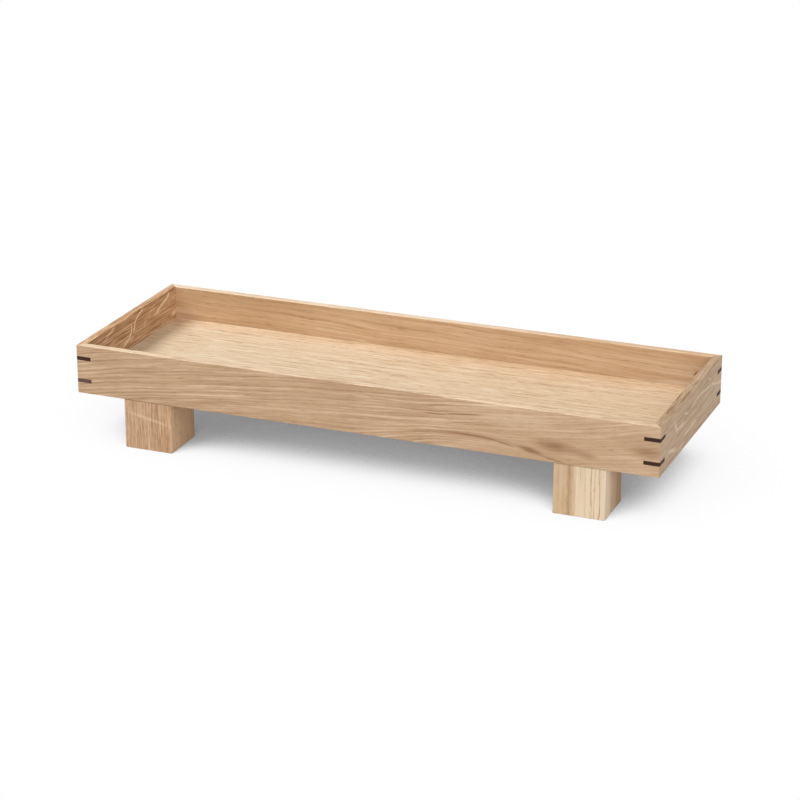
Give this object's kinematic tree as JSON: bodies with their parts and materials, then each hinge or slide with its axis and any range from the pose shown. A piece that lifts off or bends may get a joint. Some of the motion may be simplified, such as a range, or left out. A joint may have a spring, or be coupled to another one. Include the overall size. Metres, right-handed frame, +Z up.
{
  "type": "footed wooden tray",
  "caption": "Long shallow oak tray with mitred walls, walnut corner keys and square block feet, for carrying and setting out small things on a table.",
  "frame": {"origin": "on the table, under the middle of the tray", "axes": "+X along the tray's long side, to the right seen from the front; +Y from the front wall to the back wall; +Z up"},
  "size_m": [0.36, 0.126, 0.0605],
  "materials": {
    "oak_wall": "sanded and oiled oak, satin",
    "oak_panel": "sanded and oiled oak, satin",
    "oak_foot": "sanded and oiled oak, satin",
    "walnut_key": "sanded and oiled walnut, satin",
    "beech_dowel": "bare turned beech"
  },
  "bodies": {
    "root": {"front_wall": "oak_wall", "right_wall": "oak_wall", "back_wall": "oak_wall", "left_wall": "oak_wall", "floor_panel": "oak_panel", "front_left_lower_key": "walnut_key", "front_left_upper_key": "walnut_key", "front_right_lower_key": "walnut_key", "front_right_upper_key": "walnut_key", "back_right_lower_key": "walnut_key", "back_right_upper_key": "walnut_key", "back_left_lower_key": "walnut_key", "back_left_upper_key": "walnut_key", "front_left_foot": "oak_foot", "front_right_foot": "oak_foot", "back_right_foot": "oak_foot", "back_left_foot": "oak_foot", "front_left_foot_left_dowel": "beech_dowel", "front_left_foot_right_dowel": "beech_dowel", "front_right_foot_left_dowel": "beech_dowel", "front_right_foot_right_dowel": "beech_dowel", "back_right_foot_left_dowel": "beech_dowel", "back_right_foot_right_dowel": "beech_dowel", "back_left_foot_left_dowel": "beech_dowel", "back_left_foot_right_dowel": "beech_dowel"}
  },
  "joints": []
}
